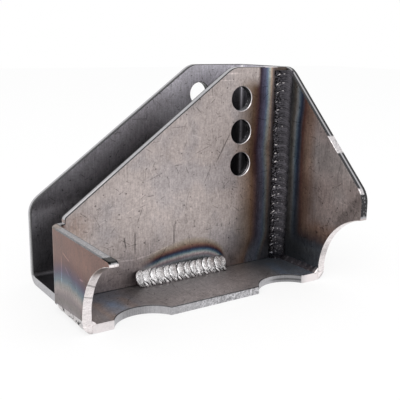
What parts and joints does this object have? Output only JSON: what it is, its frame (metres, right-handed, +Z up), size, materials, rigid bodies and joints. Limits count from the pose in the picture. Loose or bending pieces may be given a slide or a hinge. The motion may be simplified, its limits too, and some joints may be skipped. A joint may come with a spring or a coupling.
{
  "type": "track bar bracket",
  "caption": "Welded bracket of bent steel plate that saddles an axle tube and holds a track bar end between two drilled upright plates with sloped tops.",
  "frame": {"origin": "middle of the footprint, on the underside of the floor", "axes": "+X towards the tall side wall, -Y towards the axle tube, +Z up from the floor"},
  "size_m": [0.158, 0.1172, 0.1252],
  "materials": {
    "back_steel": "bare hot-rolled steel sheet, dark mill surface, bright cut edges",
    "front_steel": "bare steel sheet with a fine upright grain, heat tint beside the welds",
    "dark_weld": "rippled weld bead, near black with bright specks",
    "bright_weld": "rippled weld bead, bright silver",
    "corner_weld": "dressed corner weld with a little spatter"
  },
  "bodies": {
    "root": {"back_plate": "back_steel", "front_plate": "front_steel", "side_weld": "dark_weld", "floor_weld": "bright_weld", "left_corner_weld": "corner_weld", "right_corner_weld": "corner_weld"}
  },
  "joints": []
}
